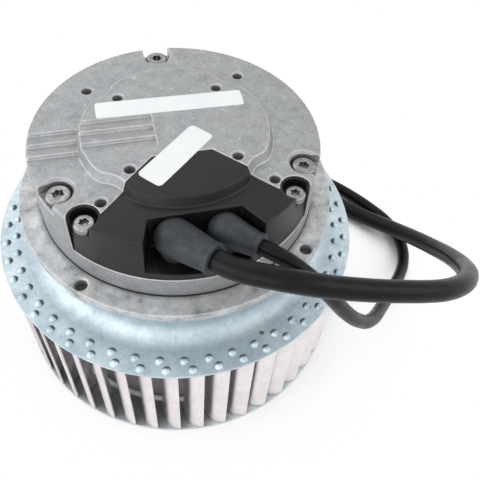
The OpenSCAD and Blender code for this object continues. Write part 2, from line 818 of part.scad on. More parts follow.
// Wedge between the two tangent points of a rounded corner beside the bite at h
module corner_wedge(h, s) {
    reach = pad_r - pad_corner_r;
    turn = acos((reach ^ 2 + norm(h) ^ 2 - (bite_r + pad_corner_r) ^ 2) / (2 * reach * norm(h)));
    place = polar(reach, atan2(h.y, h.x) + s * turn);
    out = 2 * pad_corner_r * place / reach;
    across = 2 * pad_corner_r * (h - place) / norm(h - place);
    translate([place.x, place.y, 0]) intersection() {
        children();
        translate([0, 0, -2 * pad_root]) linear_extrude(pad_h + 4 * pad_root)
            polygon([[0, 0], out, across]);
    }
}

// Every corner of the pad, two beside each bite
module at_corners() {
    for (x = [-1, 1], y = [-1, 1], s = [-1, 1])
        corner_wedge([x * deck_hole.x, y * deck_hole.y + hole_shift], s) children();
}

// Raised pad: a sloped disc with bites round the deck's tapped holes and rounded corners
module pad_solid(top_z) {
    translate([0, 0, top_z - pad_h]) {
        difference() {
            pad_cone(pad_r);
            at_deck_holes() cylinder(r1 = bite_r - pad_slope / 2, r2 = bite_r + pad_slope / 2, h = pad_h);
            at_corners() cylinder(r = 2 * pad_corner_r, h = pad_h + 1);
        }
        at_corners() pad_cone(pad_corner_r);
    }
}

// Sawtooth grooves: each slants down at its rear edge and runs out towards the front
module stepped_grooves(z, x0, x1) {
    for (i = [0:2]) translate([x0, groove_y - i * groove_pitch, z]) rotate([90, 0, 90])
        linear_extrude(x1 - x0) polygon([[-groove_slant, -groove_depth], [groove_slant / groove_depth, 1],
            [-groove_pitch + chamfer, 1], [-groove_pitch + chamfer, 0]]);
}

module housing_shell() {
    rotate_extrude($fn = 180) difference() {
        union() {
            translate([0, housing_z]) square([housing_r, housing_h - deck_edge]);
            translate([0, deck_z - deck_edge - eps]) square([housing_r - deck_edge, deck_edge + eps]);
            translate([housing_r - deck_edge, deck_z - deck_edge]) circle(r = deck_edge);
        }
        translate([-1, housing_z - 1]) square([cavity_r + 1, ceiling_z - housing_z + 1]);
    }
    pad_solid(pad_z);
}

module electronics_housing() {
    seat_z = deck_z - housing_seat;
    color("darkgray") difference() {
        union() {
            difference() {
                housing_shell();
                translate([0, 0, sill_z]) linear_extrude(housing_h + pad_h) cover_plan(cover_gap);
            }
            intersection() {
                union() {
                    at_housing_screws() translate([0, 0, housing_z + boss_rise])
                        cylinder(r = housing_boss_r, h = seat_z - housing_z - boss_rise);
                    at_cover_screws() translate([0, 0, housing_z + boss_rise])
                        cylinder(r = cover_boss_r, h = sill_h - boss_rise);
                }
                translate([0, 0, housing_z]) cylinder(r = housing_r, h = housing_h);
            }
            difference() {
                at_deck_holes() translate([0, 0, deck_z - tapped_depth - 2])
                    cylinder(r = deck_boss_r, h = tapped_depth);
                translate([0, 0, sill_z]) linear_extrude(housing_h) cover_plan(cover_gap);
            }
            at_posts() translate([0, 0, board_top]) cylinder(d = post_d, h = ceiling_z - board_top + eps);
        }
        at_housing_screws() {
            translate([0, 0, housing_z - 1]) cylinder(d = housing_screw_d + 2 * screw_clear, h = housing_h);
            translate([0, 0, seat_z]) cylinder(r = housing_slot_r, h = housing_h);
            translate([0, -housing_slot_r, seat_z]) cube([housing_r, 2 * housing_slot_r, housing_h]);
            translate([0, 0, deck_z - slot_bevel])
                cylinder(r1 = housing_slot_r, r2 = housing_slot_r + 2 * slot_bevel, h = 2 * slot_bevel);
        }
        at_cover_screws() translate([0, 0, sill_z - cover_reach])
            cylinder(d = cover_screw_d + 2 * seat_gap, h = cover_reach + 1);
        at_deck_holes() translate([0, 0, deck_z]) tapped(tapped_d, tapped_depth);
        at_pad_holes() translate([0, 0, pad_z]) tapped(tapped_d, tapped_depth);
        at_posts() translate([0, 0, board_top - 1])
            cylinder(d = board_screw_d + 2 * seat_gap, h = post_hole + 1);
        stepped_grooves(deck_z, -housing_r - 1, -pad_r - pad_slope / 2 + chamfer);
        stepped_grooves(pad_z, -pad_r, -groove_end);
    }
}

module housing_screws() {
    color("lightgray") at_housing_screws() translate([0, 0, deck_z - housing_seat]) rotate(20)
        lobed_screw(housing_screw_d, housing_head_d, housing_head_h, deck_z - housing_seat - flange_z - 1);
}

module circuit_board() {
    color("darkgreen") translate([0, 0, board_z]) linear_extrude(board_t) difference() {
        circle(r = board_r);
        at_housing_screws() circle(r = housing_boss_r + boss_gap);
        at_cover_screws() circle(r = cover_boss_r + boss_gap);
        at_posts() circle(d = board_screw_d + 2 * seat_gap);
    }
}

module board_screws() {
    color("silver") at_posts() translate([0, 0, board_z]) rotate([180, 0, 0])
        lobed_screw(board_screw_d, board_screw_d * 2, board_head_h, board_t + post_hole - 1);
}

module capacitors() {
    color("midnightblue") for (x = [-1, 1]) translate([x * capacitor_x, capacitor_y, board_top])
        cylinder(d = capacitor_d, h = ceiling_z - board_top - headroom);
}

module filter_choke() {
    color("saddlebrown") translate([choke_place.x, choke_place.y, board_top + choke_wire])
        rotate_extrude() translate([choke_r - choke_wire, 0]) circle(r = choke_wire, $fn = 32);
}

module terminal_block() {
    pitch = terminal_size.x / terminal_poles;
    color("forestgreen") translate([-terminal_size.x / 2, terminal_y, board_top]) difference() {
        cube(terminal_size);
        for (i = [0:terminal_poles - 1]) translate([(i + 0.5) * pitch, 0, 0]) {
            translate([0, terminal_size.y / 2, terminal_size.z - pole_depth])
                cylinder(d = pitch * pole_share, h = pole_depth + 1, $fn = 24);
            translate([-pitch * pole_share / 2, -1, wire_z])
                cube([pitch * pole_share, terminal_size.y / 2, wire_h]);
        }
    }
}

// Plan of the cable pocket, grown outwards by g
module pocket_plan(g) {
    out = housing_r + 2 * cover_wall;
    reach = (out - pocket_y) / (housing_r - pocket_y);
    back = pocket_half + g;
    polygon([[-back, g - pocket_y], [back, g - pocket_y], [back + reach * pocket_flare_b, -out],
        [-back - reach * pocket_flare_a, -out]]);
}

module cover_body() {
    intersection() {
        translate([0, 0, sill_z]) linear_extrude(cover_deck_z - sill_z) cover_plan(0);
        translate([0, 0, sill_z]) cylinder(r1 = housing_r - cover_gap,
            r2 = housing_r - cover_gap - cover_draft, h = cover_deck_z - sill_z, $fn = 180);
    }
    intersection() {
        translate([0, 0, sill_z + 1]) linear_extrude(housing_h + pad_h) cover_plan(0);
        pad_solid(cover_pad_z);
    }
}

// Hollow under the cover, clear of the screw lobes and the pocket
module cover_hollow() {
    inner_r = housing_r - cover_gap - cover_draft - cover_wall;
    difference() {
        union() {
            intersection() {
                translate([0, 0, sill_z - 1]) linear_extrude(cover_deck_z - cover_wall - sill_z + 1)
                    cover_plan(-cover_wall);
                translate([0, 0, sill_z - 1]) cylinder(r = inner_r, h = housing_h);
            }
            intersection() {
                translate([0, 0, sill_z]) linear_extrude(housing_h) cover_plan(-cover_wall);
                translate([0, 0, sill_z]) cylinder(r = pad_r - pad_slope / 2 - cover_wall,
                    h = cover_pad_z - cover_wall - sill_z);
            }
        }
        translate([0, 0, sill_z - 2]) {
            at_cover_screws() cylinder(r = lobe_r, h = housing_h);
            linear_extrude(housing_h) pocket_plan(cover_wall);
            for (b = boots) translate([b[0].x, b[0].y, 0])
                cylinder(r = b[1] + boot_clear + boot_wall_min, h = housing_h);
        }
    }
}

module terminal_cover() {
    seat_z = cover_deck_z - cover_seat;
    color([0.16, 0.16, 0.16]) difference() {
        cover_body();
        cover_hollow();
        translate([0, 0, pocket_z]) linear_extrude(housing_h) pocket_plan(0);
        at_cover_screws() {
            translate([0, 0, sill_z - 1]) cylinder(d = cover_screw_d + 2 * screw_clear, h = housing_h);
            translate([0, 0, seat_z]) cylinder(r = cover_slot_r, h = housing_h);
        }
        for (b = boots) {
            translate([b[0].x, b[0].y, sill_z - 1]) cylinder(r = neck_r + seat_gap, h = boot_z - sill_z);
            translate(b[0]) sphere(r = b[1] + boot_clear);
        }
    }
}

module cover_screws() {
    color("lightgray") at_cover_screws() translate([0, 0, cover_deck_z - cover_seat]) rotate(10)
        lobed_screw(cover_screw_d, cover_head_d, cover_head_h,
            cover_deck_z - cover_seat - sill_z + cover_reach - 1);
}

// Angled rubber boot: a neck through the pocket's floor, an elbow and a tapered sleeve
module boot(elbow, boot_r, axis, length, cable_d) {
    neck_z = sill_z - boot_flange_t - seat_gap;
    mouth_r = cable_d / 2 + boot_wall;
    color([0.22, 0.24, 0.27]) {
        along(elbow, axis) rotate_extrude() {
            intersection() {
                circle(r = boot_r);
                translate([0, boot_flat - boot_r]) square([boot_r, boot_r - boot_flat]);
            }
            polygon([[0, 0], [boot_r, 0], [mouth_r, length - boot_lip_l],
                [mouth_r + boot_lip_h, length - boot_lip_l], [mouth_r + boot_lip_h, length], [0, length]]);
        }
        translate([elbow.x, elbow.y, neck_z]) {
            cylinder(r = neck_r, h = elbow.z - neck_z);
            cylinder(r = neck_r + boot_flange, h = boot_flange_t);
        }
    }
}

module supply_boot() {
    boot(supply_elbow, supply_boot_r, supply_axis, supply_boot_l, supply_d);
}

module control_boot() {
    boot(control_elbow, control_boot_r, control_axis, control_boot_l, control_d);
}

module supply_cable() { color([0.12, 0.12, 0.12]) swept_tube(supply_route, supply_d / 2); }

module control_cable() { color([0.12, 0.12, 0.12]) swept_tube(control_route, control_d / 2); }

// Frame at the far end of a cable: children point along the cable's last stretch
module at_cable_end(route) {
    n = len(route) - 1;
    step = route[n] - route[n - 1];
    along(route[n], step / norm(step)) children();
}

module core_bundle(count, d) {
    around(count, 45) translate([d * core_spread / sin(180 / count), 0, 0]) children();
}

module supply_cores() {
    color("saddlebrown") at_cable_end(supply_route) core_bundle(supply_cores, supply_core_d)
        cylinder(d = supply_core_d, h = core_l, $fn = 24);
}

module control_cores() {
    color("gold") at_cable_end(control_route) core_bundle(control_cores, control_core_d)
        cylinder(d = control_core_d, h = core_l, $fn = 24);
}

module ferrule(d) {
    translate([0, 0, core_l]) cylinder(d = d * ferrule_share, h = ferrule_l, $fn = 24);
}

module supply_ferrules() {
    color("silver") at_cable_end(supply_route) core_bundle(supply_cores, supply_core_d)
        ferrule(supply_core_d);
}

module control_ferrules() {
    color("silver") at_cable_end(control_route) core_bundle(control_cores, control_core_d)
        ferrule(control_core_d);
}

motor_flange();
stator_core();
stator_windings();
phase_pins();
bearing_outer_rings();
bearing_balls();
bearing_spring();
housing_gasket();
electronics_housing();
housing_screws();
circuit_board();
board_screws();
capacitors();
filter_choke();
terminal_block();
terminal_cover();
cover_screws();
supply_boot();
control_boot();
supply_cable();
control_cable();
supply_cores();
control_cores();
supply_ferrules();
control_ferrules();
rotor_cup();
rotor_magnets();
motor_shaft();
bearing_inner_rings();
shaft_circlip();
impeller_back_plate();
impeller_blades();
inlet_ring();
impeller_rivets();
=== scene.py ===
import math
import bpy
from mathutils import Matrix, Vector


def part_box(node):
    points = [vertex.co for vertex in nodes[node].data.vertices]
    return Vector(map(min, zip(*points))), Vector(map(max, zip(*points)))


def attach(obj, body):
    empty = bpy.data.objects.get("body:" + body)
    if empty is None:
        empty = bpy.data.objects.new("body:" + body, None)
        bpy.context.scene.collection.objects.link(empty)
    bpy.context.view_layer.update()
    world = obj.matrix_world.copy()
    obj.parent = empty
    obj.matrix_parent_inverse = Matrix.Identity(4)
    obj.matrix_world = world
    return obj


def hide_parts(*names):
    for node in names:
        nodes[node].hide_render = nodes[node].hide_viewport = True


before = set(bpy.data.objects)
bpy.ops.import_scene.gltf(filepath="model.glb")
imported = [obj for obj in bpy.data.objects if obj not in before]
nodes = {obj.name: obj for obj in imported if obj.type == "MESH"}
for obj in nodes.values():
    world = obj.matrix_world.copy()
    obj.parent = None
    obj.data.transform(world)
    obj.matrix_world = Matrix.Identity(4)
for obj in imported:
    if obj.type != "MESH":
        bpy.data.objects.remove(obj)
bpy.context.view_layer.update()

scene = bpy.context.scene
scene.view_settings.view_transform = "Standard"
mm = 0.001


def addNode(tree, kind, inputs=None, **settings):  # a node with its settings, its values and its links
    node = tree.nodes.new("ShaderNode" + kind)
    for name, value in settings.items():
        if name == "stops":
            ramp = node.color_ramp.elements
            while len(ramp) < len(value):
                ramp.new(1)
            for stop, (place, colour) in zip(ramp, value):
                stop.position, stop.color = place, colour
        else:
            setattr(node, name, value)
    for name, value in (inputs or {}).items():
        if isinstance(value, bpy.types.NodeSocket):
            tree.links.new(value, node.inputs[name])
        else:
            node.inputs[name].default_value = value
    return node


def toLinear(hexText):  # sRGB hex to linear
    parts = [int(hexText[i:i + 2], 16) / 255 for i in (1, 3, 5)]
    return [p / 12.92 if p <= 0.04045 else ((p + 0.055) / 1.055) ** 2.4 for p in parts] + [1]


# Camera, worked out from the circles in the photograph; lengths in mm
view = {"lens": 44.72, "sensor": 36, "near": 10, "place": (-25.53, -177.45, 275.30),
        "right": (0.97138, -0.23052, 0.05732), "up": (0.14876, 0.77849, 0.60981),
        "back": (-0.18520, -0.58383, 0.79050)}
lens = bpy.data.cameras.new("photoCamera")
lens.lens, lens.sensor_width, lens.clip_start = view["lens"], view["sensor"], view["near"] * mm
camera = bpy.data.objects.new("photoCamera", lens)
camera.matrix_world = Matrix.Translation(Vector(view["place"]) * mm) @ Matrix(
    (view["right"], view["up"], view["back"])).transposed().to_4x4()
scene.collection.objects.link(camera)
scene.camera = camera
print("camera placed")

# Free cables: routes in metres, from the boots round behind the impeller
supplyLead = {"name": "supplyLead", "node": "supply_cable", "ends": ("supply_cores", "supply_ferrules"),
              "diameter": 0.0086, "length": 0.423, "route": (
    (0.003594, -0.060013, 0.106944), (0.006140, -0.063048, 0.107501), (0.0125, -0.0688, 0.1094),
    (0.020, -0.073, 0.1103), (0.027, -0.0758, 0.1099), (0.0345, -0.0777, 0.1083), (0.0425, -0.0788, 0.1059),
    (0.051, -0.0797, 0.1035), (0.0595, -0.0804, 0.1012), (0.068, -0.0808, 0.0989), (0.077, -0.0807, 0.096),
    (0.0875, -0.0795, 0.092), (0.099, -0.075, 0.0855), (0.1105, -0.066, 0.075), (0.1205, -0.0535, 0.061),
    (0.1275, -0.038, 0.046), (0.1305, -0.022, 0.032), (0.1295, -0.006, 0.0205), (0.125, 0.009, 0.0115),
    (0.117, 0.022, 0.0065), (0.107, 0.034, 0.0045), (0.095, 0.048, 0.0044), (0.081, 0.062, 0.0044),
    (0.064, 0.074, 0.0044), (0.045, 0.083, 0.0044), (0.024, 0.089, 0.0044), (0.002, 0.091, 0.0044),
    (-0.018, 0.090, 0.0044), (-0.036, 0.086, 0.0044))}
controlLead = {"name": "controlLead", "node": "control_cable", "ends": ("control_cores", "control_ferrules"),
               "diameter": 0.0063, "length": 0.399, "route": (
    (0.021284, -0.056014, 0.104823), (0.024159, -0.058791, 0.104963), (0.0295, -0.0631, 0.1037),
    (0.0356, -0.0677, 0.100), (0.0413, -0.0706, 0.0943), (0.0462, -0.0714, 0.0871), (0.0506, -0.0712, 0.0796),
    (0.0552, -0.0706, 0.072), (0.060, -0.0696, 0.0646), (0.0652, -0.068, 0.0574), (0.0715, -0.0653, 0.0496),
    (0.079, -0.060, 0.0415), (0.088, -0.0515, 0.0325), (0.098, -0.0415, 0.0235), (0.108, -0.031, 0.0155),
    (0.1175, -0.0212, 0.009), (0.1252, -0.011, 0.0051), (0.1298, 0.0, 0.0036), (0.1306, 0.011, 0.0033),
    (0.1278, 0.022, 0.0033), (0.122, 0.033, 0.0033), (0.115, 0.0435, 0.0033), (0.1065, 0.054, 0.0033),
    (0.096, 0.0645, 0.0033), (0.0835, 0.075, 0.0033), (0.068, 0.0855, 0.0033), (0.050, 0.094, 0.0033),
    (0.030, 0.100, 0.0033), (0.009, 0.103, 0.0033), (-0.012, 0.103, 0.0033), (-0.032, 0.100, 0.0033))}
sheathSteps = {"around": 6, "along": 8}  # steps of a quarter of the round and of each stretch


def layLead(lead):  # a round sheath on one smooth curve through the route
    curve = bpy.data.curves.new(lead["name"], "CURVE")
    curve.dimensions = "3D"
    curve.bevel_depth = 1  # each point's radius then gives the sheath's own
    curve.bevel_resolution, curve.resolution_u = sheathSteps["around"], sheathSteps["along"]
    curve.use_fill_caps = True
    spline = curve.splines.new("BEZIER")
    spline.bezier_points.add(len(lead["route"]) - 1)
    for point, place in zip(spline.bezier_points, lead["route"]):
        point.co, point.radius = place, lead["diameter"] / 2
        point.handle_left_type = point.handle_right_type = "AUTO"
    sheath = bpy.data.objects.new(lead["name"], curve)
    scene.collection.objects.link(sheath)
    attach(sheath, "stator")
    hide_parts(lead["node"])
    return sheath


leads = [layLead(supplyLead), layLead(controlLead)]
print("leads laid:", [sheath.name for sheath in leads])


def startMaterial(name, **values):  # a Principled material, constants set on its own sockets
    material = bpy.data.materials.new(name)
    material.use_nodes = True
    tree = material.node_tree
    shader = tree.nodes["Principled BSDF"]
    for key, value in values.items():
        shader.inputs[key.replace("_", " ")].default_value = value
    place = addNode(tree, "TexCoord").outputs["Object"]
    return material, tree, shader, place


# What a finish has unless it names its own
plain = {"breakUp": 0.6, "grainShare": 0.25, "spread": (0.36, 0.64), "strength": 0.4}
octaves = {"cloud": 6, "grain": 3, "specks": 4}  # of the noises
samples = {"edge": 6, "cornerShade": 8}
# Where marks start and are full: noise, cosine to the rounded normal, open sky, cosine to the way outward
marks = {"specks": (0.6, 0.72), "edge": (0.995, 0.9), "cornerShade": (0.85, 0.25), "inwardShade": (-0.05, -0.45)}
speckBreakUp = 0.7  # roughness of the specks' noise


def addNoise(tree, place, size, **values):  # noise with spots of a size in mm
    inputs = {"Vector": place, "Scale": 1 / (size * mm), **values}
    return addNode(tree, "TexNoise", inputs).outputs["Fac"]


def addDot(tree, one, other):  # the cosine between two directions
    return addNode(tree, "VectorMath", {0: one, 1: other}, operation="DOT_PRODUCT").outputs["Value"]


def coat(tree, colour, amount, limits, tone, share):  # a tone over the colour, between two limits
    cover = addNode(tree, "MapRange", {"Value": amount, "From Min": limits[0], "From Max": limits[1],
                                       "To Min": 0, "To Max": share}).outputs["Result"]
    inputs = {"Fac": cover, "Color1": colour, "Color2": toLinear(tone)}
    return addNode(tree, "MixRGB", inputs).outputs["Color"]


def mottle(name, own, **values):  # clouds of tone, grain in gloss and relief, and marks of use where asked
    finish = {**plain, **own}
    material, tree, shader, place = startMaterial(name, **values)
    clouds = addNoise(tree, place, finish["cloud"], Detail=octaves["cloud"], Roughness=finish["breakUp"])
    grain = addNoise(tree, place, finish["grain"], Detail=octaves["grain"])
    blend = addNode(tree, "MixRGB", {"Fac": finish["grainShare"], "Color1": clouds,
                                     "Color2": grain}).outputs["Color"]
    tones, rough = finish["tones"], finish["rough"]
    low, high = finish["spread"]
    steps = [(low + (high - low) * i / (len(tones) - 1), toLinear(tone)) for i, tone in enumerate(tones)]
    colour = addNode(tree, "ValToRGB", {"Fac": blend}, stops=steps).outputs["Color"]
    gloss = addNode(tree, "MapRange", {"Value": blend, "From Min": low, "From Max": high, "To Min": rough[0],
                                       "To Max": rough[1]}).outputs["Result"]
    relief = {"Height": grain, "Strength": finish["strength"], "Distance": finish["relief"] * mm}
    if "specks" in finish:  # pale flecks
        size, tone, share = finish["specks"]
        flecks = addNoise(tree, place, size, Detail=octaves["specks"], Roughness=speckBreakUp)
        colour = coat(tree, colour, flecks, marks["specks"], tone, share)
    if "edge" in finish:  # edges rounded, with a tone laid along them: mostly a painted highlight, partly edge wear
        width, tone, share = finish["edge"]
        rounded = addNode(tree, "Bevel", {"Radius": width * mm}, samples=samples["edge"]).outputs["Normal"]
        turn = addDot(tree, rounded, addNode(tree, "NewGeometry").outputs["Normal"])
        colour = coat(tree, colour, turn, marks["edge"], tone, share)
        relief["Normal"] = rounded
    if "cornerShade" in finish:  # painted shade in corners and holes, darker where little open sky is seen
        reach, tone, share = finish["cornerShade"]
        openSky = addNode(tree, "AmbientOcclusion", {"Distance": reach * mm}, samples=samples["cornerShade"])
        colour = coat(tree, colour, openSky.outputs["AO"], marks["cornerShade"], tone, share)
    if "inwardShade" in finish:  # painted shade on the sides that face the spin axis, a painted dark reflection of the collar and flange above them
        tone, share = finish["inwardShade"]
        level = addNode(tree, "VectorMath", {0: place, 1: (1, 1, 0)}, operation="MULTIPLY").outputs["Vector"]
        outward = addNode(tree, "VectorMath", {0: level}, operation="NORMALIZE").outputs["Vector"]
        facing = addDot(tree, outward, addNode(tree, "TexCoord").outputs["Normal"])
        colour = coat(tree, colour, facing, marks["inwardShade"], tone, share)
    tree.links.new(colour, shader.inputs["Base Color"])
    tree.links.new(gloss, shader.inputs["Roughness"])
    tree.links.new(addNode(tree, "Bump", relief).outputs["Normal"], shader.inputs["Normal"])
    return material


# Sizes in the finishes are in mm. Grain that is finer in life is drawn at 0.5 mm or more, so that it shows.
# Specks, edges and the painted shade in corners give a size, a tone and the largest share of it; the tone on
# edges is mostly a painted highlight

# Die-cast aluminium, shot blasted: dull grey with cloudy flow marks and pale flecks, edges painted bright (a
# painted highlight, partly wear), painted shade in corners
castAluminium = mottle("castAluminium", {
    "cloud": 5, "grain": 0.8, "grainShare": 0.35, "breakUp": 0.7, "spread": (0.34, 0.7),
    "tones": ("#8C8E90", "#9FA1A3", "#A8AAAC", "#C4C6C8"), "rough": (0.56, 0.44), "relief": 0.06,
    "specks": (2.2, "#DDDFE1", 0.7), "edge": (1, "#F0F1F2", 0.65),
    "cornerShade": (2.5, "#5A5654", 0.5)}, Metallic=0.65)

# Die-cast aluminium of the flange, shot blasted, then stained: dark blots, pale veins, painted shade in holes
# and corners
stainedAluminium = mottle("stainedAluminium", {
    "cloud": 7, "grain": 0.9, "grainShare": 0.2, "breakUp": 0.66, "spread": (0.34, 0.68),
    "tones": ("#8A8C8E", "#B9BBBD", "#CED0D2", "#E5E7E9"), "rough": (0.58, 0.44), "relief": 0.08,
    "specks": (2.6, "#E6E8EA", 0.6), "edge": (0.8, "#F0F1F2", 0.6),
    "cornerShade": (4, "#2E2A28", 0.85)}, Metallic=0.4)

# Hot-dip galvanised sheet, skin passed: bluish, soft gloss, faint clouds, painted shade in the corner under
# the flange, and the domes' inner sides darkened as a painted reflection of the dark collar and flange
galvanisedSheet = mottle("galvanisedSheet", {
    "cloud": 9, "grain": 1.6, "grainShare": 0.3, "tones": ("#B6C5CD", "#C6D5DC", "#D6E1E6"),
    "rough": (0.6, 0.5), "relief": 0.012, "edge": (0.3, "#F0F3F4", 0.4), "cornerShade": (15, "#625A58", 0.9),
    "inwardShade": ("#4A4F52", 0.85)}, Metallic=1)

# Cold-rolled galvanised strip of the blades: glossier than the plate, toned paler than it as painted light on
# the blade faces, with brown painted shade in the corners between the blades
galvanisedStrip = mottle("galvanisedStrip", {
    "cloud": 12, "grain": 1.5, "grainShare": 0.3, "tones": ("#E7E0E1", "#EEE7E8", "#F6F0F0"),
    "rough": (0.42, 0.32), "relief": 0.01, "edge": (0.25, "#F6F5F5", 0.6),
    "cornerShade": (4.5, "#5C4845", 0.85)}, Metallic=1)

# Galvanised inlet ring, rolled over: pale and clean where the air sweeps it, painted shade in its corners
galvanisedRing = mottle("galvanisedRing", {
    "cloud": 9, "grain": 1.6, "grainShare": 0.3, "tones": ("#CEDADF", "#DDE8EC", "#EAF3F6"),
    "rough": (0.5, 0.4), "relief": 0.012, "edge": (0.3, "#F0F3F4", 0.5),
    "cornerShade": (4, "#7A7674", 0.5)}, Metallic=1)

# Deep-drawn steel cup, zinc plated: toned dark brown grey as painted shade of the impeller's inside, darker
# still in its corners
drawnSteel = mottle("drawnSteel", {
    "cloud": 14, "grain": 1.2, "tones": ("#4C403C", "#5C4F4A", "#6C5F59"), "rough": (0.5, 0.38),
    "relief": 0.02, "edge": (0.6, "#8E847E", 0.5), "cornerShade": (16, "#3A2F2B", 0.8)}, Metallic=1)

# Cold-headed screw steel, zinc plated: mid grey, the drive and rim painted bright (a painted highlight,
# partly wear), painted shade in the drive
screwSteel = mottle("screwSteel", {
    "cloud": 2.5, "grain": 0.5, "tones": ("#78787A", "#969698", "#ACACAF"), "rough": (0.42, 0.28),
    "relief": 0.03, "edge": (0.35, "#E6E6E8", 0.7), "cornerShade": (1.6, "#1E1C1B", 0.9)}, Metallic=1)

# Glass-filled polyamide, moulded with a fine eroded grain: brown black, satin, with a painted highlight along
# its edges
mouldedPolyamide = mottle("mouldedPolyamide", {
    "cloud": 16, "grain": 0.7, "grainShare": 0.35, "tones": ("#100F0E", "#171514", "#1E1C1A"),
    "rough": (0.4, 0.28), "relief": 0.03, "strength": 0.25,
    "edge": (1.2, "#3E3A38", 0.55)}, IOR=1.42, Specular_IOR_Level=0.44)

# EPDM rubber, compression moulded: blue grey, matt, with a bloom of dust
mouldedRubber = mottle("mouldedRubber", {
    "cloud": 6, "grain": 0.8, "grainShare": 0.4, "tones": ("#23272B", "#2D3136", "#393F45"),
    "rough": (0.68, 0.5), "relief": 0.05, "strength": 0.3, "edge": (0.4, "#4C545B", 0.5)}, IOR=1.5)

# PVC sheath, extruded: black, satin, with the faint ripple of the extruder
extrudedSheath = mottle("extrudedSheath", {
    "cloud": 10, "grain": 2.4, "grainShare": 0.4, "tones": ("#08090A", "#0C0D0F", "#121416"),
    "rough": (0.4, 0.28), "relief": 0.05, "strength": 0.25}, IOR=1.38, Specular_IOR_Level=0.3)

# Nitrile gasket, die cut: black and matt
cutNitrile = mottle("cutNitrile", {
    "cloud": 5, "grain": 0.8, "tones": ("#0D0D0D", "#161616"), "rough": (0.8, 0.65),
    "relief": 0.03}, IOR=1.52)

# Vinyl label film, calendered: white, smooth, soft gloss
labelFilm = mottle("labelFilm", {
    "cloud": 18, "grain": 1.5, "tones": ("#EFF2F4", "#F5F7F8"), "rough": (0.4, 0.3), "relief": 0.01,
    "edge": (0.25, "#D5D7D8", 0.5)}, IOR=1.52)

# Electrical steel, stamped and stacked: dark grey sheet edges
stampedSteel = mottle("stampedSteel", {
    "cloud": 6, "grain": 0.8, "tones": ("#4A4A4C", "#5E5E61"), "rough": (0.55, 0.42),
    "relief": 0.05}, Metallic=1)

# Enamelled copper, wound: warm lacquered sheen
woundCopper = mottle("woundCopper", {
    "cloud": 4, "grain": 0.9, "tones": ("#7A3A17", "#A85A2A", "#BE6E38"), "rough": (0.42, 0.28),
    "relief": 0.12}, Metallic=1)

# Brass pin, drawn and plated: bright yellow
drawnBrass = mottle("drawnBrass", {
    "cloud": 3, "grain": 0.6, "tones": ("#A8873E", "#C7A658"), "rough": (0.35, 0.25),
    "relief": 0.01}, Metallic=1)

# Bearing steel, ground: bright, close to a mirror
groundSteel = mottle("groundSteel", {
    "cloud": 8, "grain": 0.7, "tones": ("#B0B2B4", "#C6C8CA"), "rough": (0.25, 0.15),
    "relief": 0.006}, Metallic=1)

# Spring steel, oil hardened: blue black
hardenedSteel = mottle("hardenedSteel", {
    "cloud": 4, "grain": 0.6, "tones": ("#2E2F33", "#404248"), "rough": (0.45, 0.35),
    "relief": 0.01}, Metallic=1)

# Ferrite magnet, sintered and ground: charcoal, matt
sinteredFerrite = mottle("sinteredFerrite", {
    "cloud": 5, "grain": 0.7, "tones": ("#2B2B2D", "#39393B"), "rough": (0.7, 0.55),
    "relief": 0.03}, IOR=2.3)

# Glass epoxy board under solder mask: green, glossy
maskedEpoxy = mottle("maskedEpoxy", {
    "cloud": 6, "grain": 1, "tones": ("#0F4526", "#16592F"), "rough": (0.35, 0.22),
    "relief": 0.02}, IOR=1.55)

# Capacitor sleeve, shrunk PET: dark blue, glossy
shrunkSleeve = mottle("shrunkSleeve", {
    "cloud": 8, "grain": 1.5, "tones": ("#141833", "#1D2346"), "rough": (0.3, 0.2),
    "relief": 0.02}, IOR=1.57)

# Terminal block polyamide, moulded: green, satin
mouldedTerminal = mottle("mouldedTerminal", {
    "cloud": 6, "grain": 0.8, "tones": ("#1C5A2C", "#277238"), "rough": (0.5, 0.38),
    "relief": 0.03}, IOR=1.53)

# Core insulation, extruded PVC: plain colours, satin
brownCore = mottle("brownCore", {
    "cloud": 5, "grain": 1.2, "tones": ("#4A2A17", "#5A341D"), "rough": (0.42, 0.32),
    "relief": 0.02}, IOR=1.52)
yellowCore = mottle("yellowCore", {
    "cloud": 5, "grain": 1.2, "tones": ("#C2A11E", "#D3B22A"), "rough": (0.42, 0.32),
    "relief": 0.02}, IOR=1.52)

# Tinned copper ferrule, crimped: soft white metal
tinnedCopper = mottle("tinnedCopper", {
    "cloud": 3, "grain": 0.6, "tones": ("#B2B3B4", "#C8C9C9"), "rough": (0.4, 0.28),
    "relief": 0.04}, Metallic=1)

finishes = {
    castAluminium: ("electronics_housing",),
    stainedAluminium: ("motor_flange",),
    galvanisedSheet: ("impeller_back_plate", "impeller_rivets"),
    galvanisedRing: ("inlet_ring",),
    galvanisedStrip: ("impeller_blades",),
    drawnSteel: ("rotor_cup",),
    screwSteel: ("housing_screws", "cover_screws", "board_screws"),
    mouldedPolyamide: ("terminal_cover",),
    mouldedRubber: ("supply_boot", "control_boot"),
    cutNitrile: ("housing_gasket",),
    stampedSteel: ("stator_core",),
    woundCopper: ("stator_windings", "filter_choke"),
    drawnBrass: ("phase_pins",),
    groundSteel: ("bearing_outer_rings", "bearing_inner_rings", "bearing_balls", "motor_shaft"),
    hardenedSteel: ("bearing_spring", "shaft_circlip"),
    sinteredFerrite: ("rotor_magnets",),
    maskedEpoxy: ("circuit_board",),
    shrunkSleeve: ("capacitors",),
    mouldedTerminal: ("terminal_block",),
    brownCore: ("supply_cores",),
    yellowCore: ("control_cores",),
    tinnedCopper: ("supply_ferrules", "control_ferrules"),
}
for material, wearers in finishes.items():
    for name in wearers:
        nodes[name].data.materials.clear()
        nodes[name].data.materials.append(material)
for sheath in leads:
    sheath.data.materials.append(extrudedSheath)
print("finishes given to", sum(len(w) for w in finishes.values()), "nodes")

